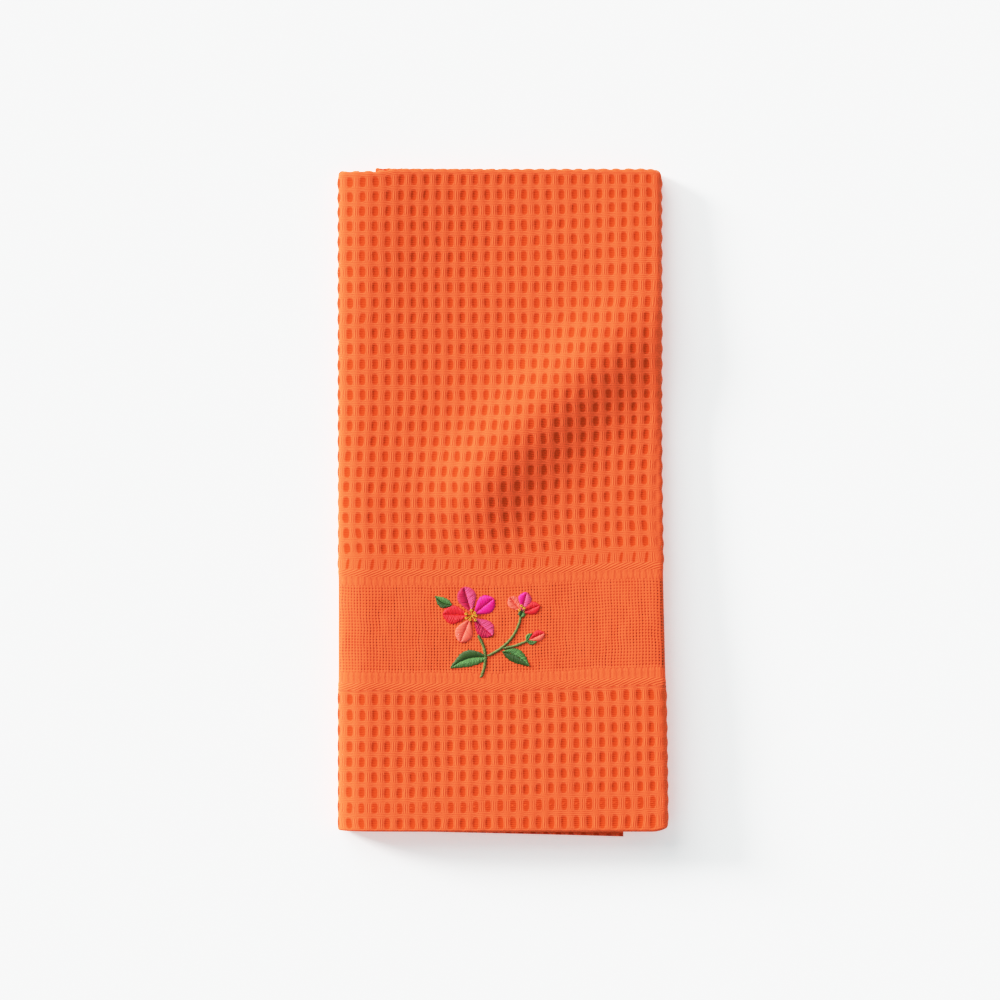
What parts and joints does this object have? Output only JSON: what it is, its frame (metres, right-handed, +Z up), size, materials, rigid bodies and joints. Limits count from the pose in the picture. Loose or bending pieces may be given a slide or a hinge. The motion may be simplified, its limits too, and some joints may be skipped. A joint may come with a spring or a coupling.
{
  "type": "folded tea towel",
  "caption": "Waffle-weave cotton tea towel, folded in half and then in thirds, lying flat, with a plain band and a stitched flower sprig near its hem.",
  "frame": {"origin": "on the surface the towel lies on, under the middle of the folded stack", "axes": "+Y along the towel's length, from the hemmed ends to the crosswise fold, +X across it to the right when seen from above, +Z up through the layers"},
  "size_m": [0.1826, 0.3709, 0.0224],
  "materials": {
    "cloth": "matt orange cotton, waffle weave with a plain-weave band"
  },
  "bodies": {
    "root": {"towel": "cloth"}
  },
  "joints": []
}
